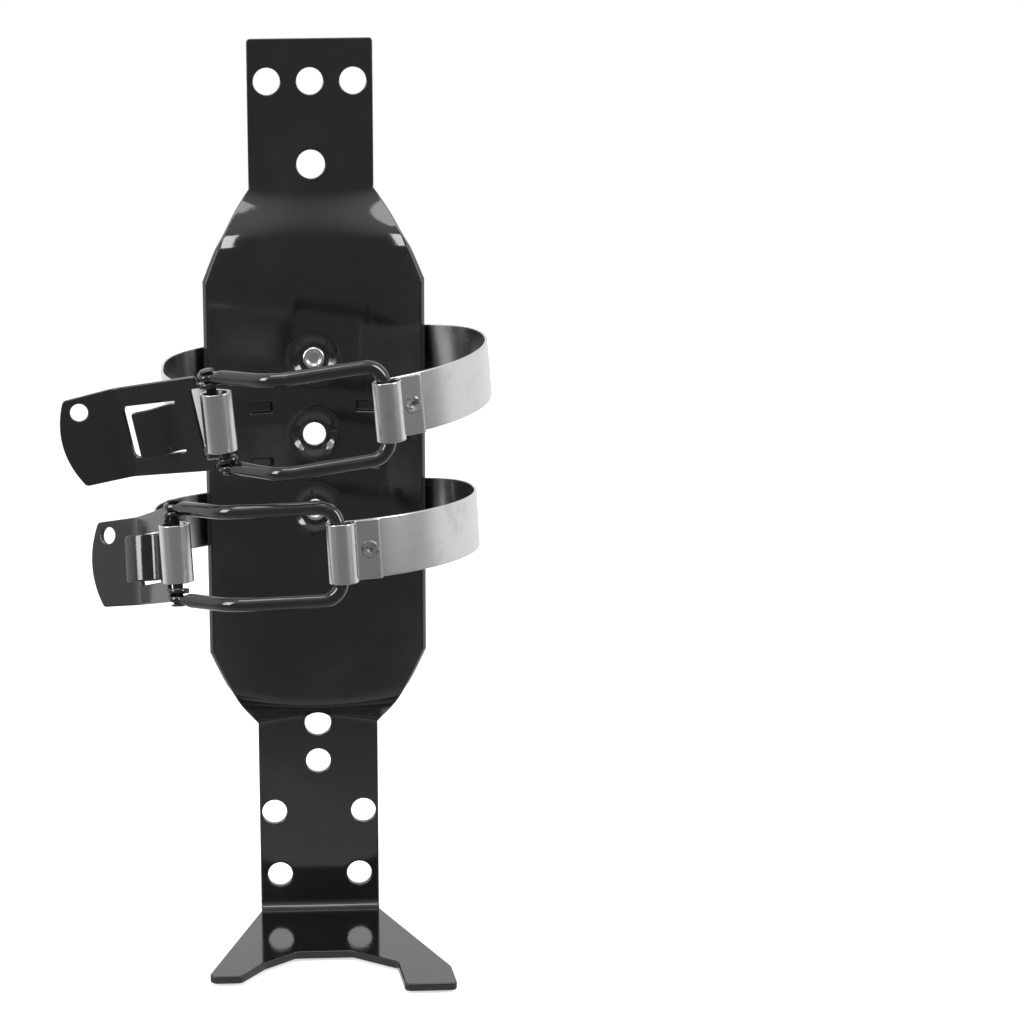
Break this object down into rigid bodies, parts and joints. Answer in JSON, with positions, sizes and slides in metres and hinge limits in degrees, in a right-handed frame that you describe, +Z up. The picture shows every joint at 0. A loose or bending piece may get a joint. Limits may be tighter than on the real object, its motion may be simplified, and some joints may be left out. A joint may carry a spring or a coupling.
{
  "type": "fire extinguisher bracket",
  "caption": "Black sheet-steel wall bracket with a curved cradle and a forked foot, and stainless bands that close with wire bails and latch levers to hold a fire extinguisher.",
  "frame": {"origin": "on the flat back of the top tab, on its centre line, between the row of bolt holes and the single hole", "axes": "+X to the viewer's right, +Y into the wall, +Z up along the bracket"},
  "size_m": [0.1314, 0.1132, 0.2925],
  "materials": {
    "plate_paint": "gloss black paint",
    "band_steel": "satin stainless strip",
    "rivet_steel": "plain rivet metal",
    "wire_finish": "gloss black coating on wire",
    "pin_finish": "black coating",
    "lever_finish": "gloss black coating on sheet"
  },
  "bodies": {
    "bracket": {"back_plate": "plate_paint", "upper_band": "band_steel", "upper_rivet": "rivet_steel", "upper_bail": "wire_finish", "upper_pivot_pin": "pin_finish", "lower_band": "band_steel", "lower_rivet": "rivet_steel", "lower_bail": "wire_finish", "lower_pivot_pin": "pin_finish"},
    "upper_latch": {"upper_lever": "lever_finish"},
    "lower_latch": {"lower_lever": "lever_finish"}
  },
  "joints": [
    {"name": "upper_lever_hinge", "type": "hinge", "parent": "bracket", "child": "upper_latch", "pos_m": [-0.03033, -0.09324, -0.08314], "axis": [-0.2078, -0.0571, 0.9765], "range_deg": [-26, 120]},
    {"name": "lower_lever_hinge", "type": "hinge", "parent": "bracket", "child": "lower_latch", "pos_m": [-0.04384, -0.08261, -0.12383], "axis": [-0.0336, 0.2521, 0.9671], "range_deg": [-1, 151]}
  ]
}
